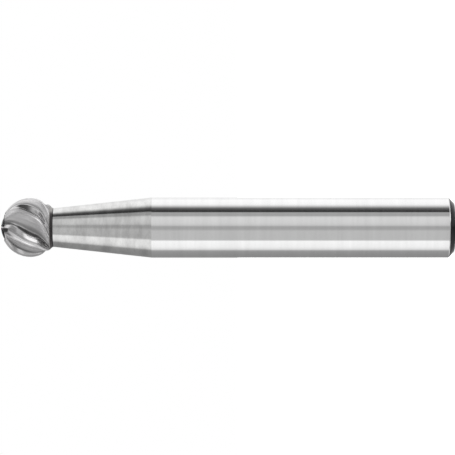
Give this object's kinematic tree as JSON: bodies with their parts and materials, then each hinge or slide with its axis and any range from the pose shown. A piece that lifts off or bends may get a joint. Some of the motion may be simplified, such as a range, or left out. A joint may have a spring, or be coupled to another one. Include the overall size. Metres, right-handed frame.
{
  "type": "carbide burr",
  "caption": "Rotary burr with a fluted carbide ball head brazed to a tapered steel shank, for grinding and deburring metal.",
  "frame": {"origin": "centre of the shank's end face", "axes": "+Z along the tool's axis from the shank's end to the tip of the ball; -Y is the side the picture shows"},
  "size_m": [0.006, 0.006, 0.045],
  "materials": {
    "tungsten_carbide": "ground cemented carbide, satin",
    "silver_solder": "silver solder, darkened by heat",
    "ground_steel": "cylindrically ground, bright"
  },
  "bodies": {
    "root": {"carbide_head": "tungsten_carbide", "braze_joint": "silver_solder", "steel_shank": "ground_steel"}
  },
  "joints": []
}
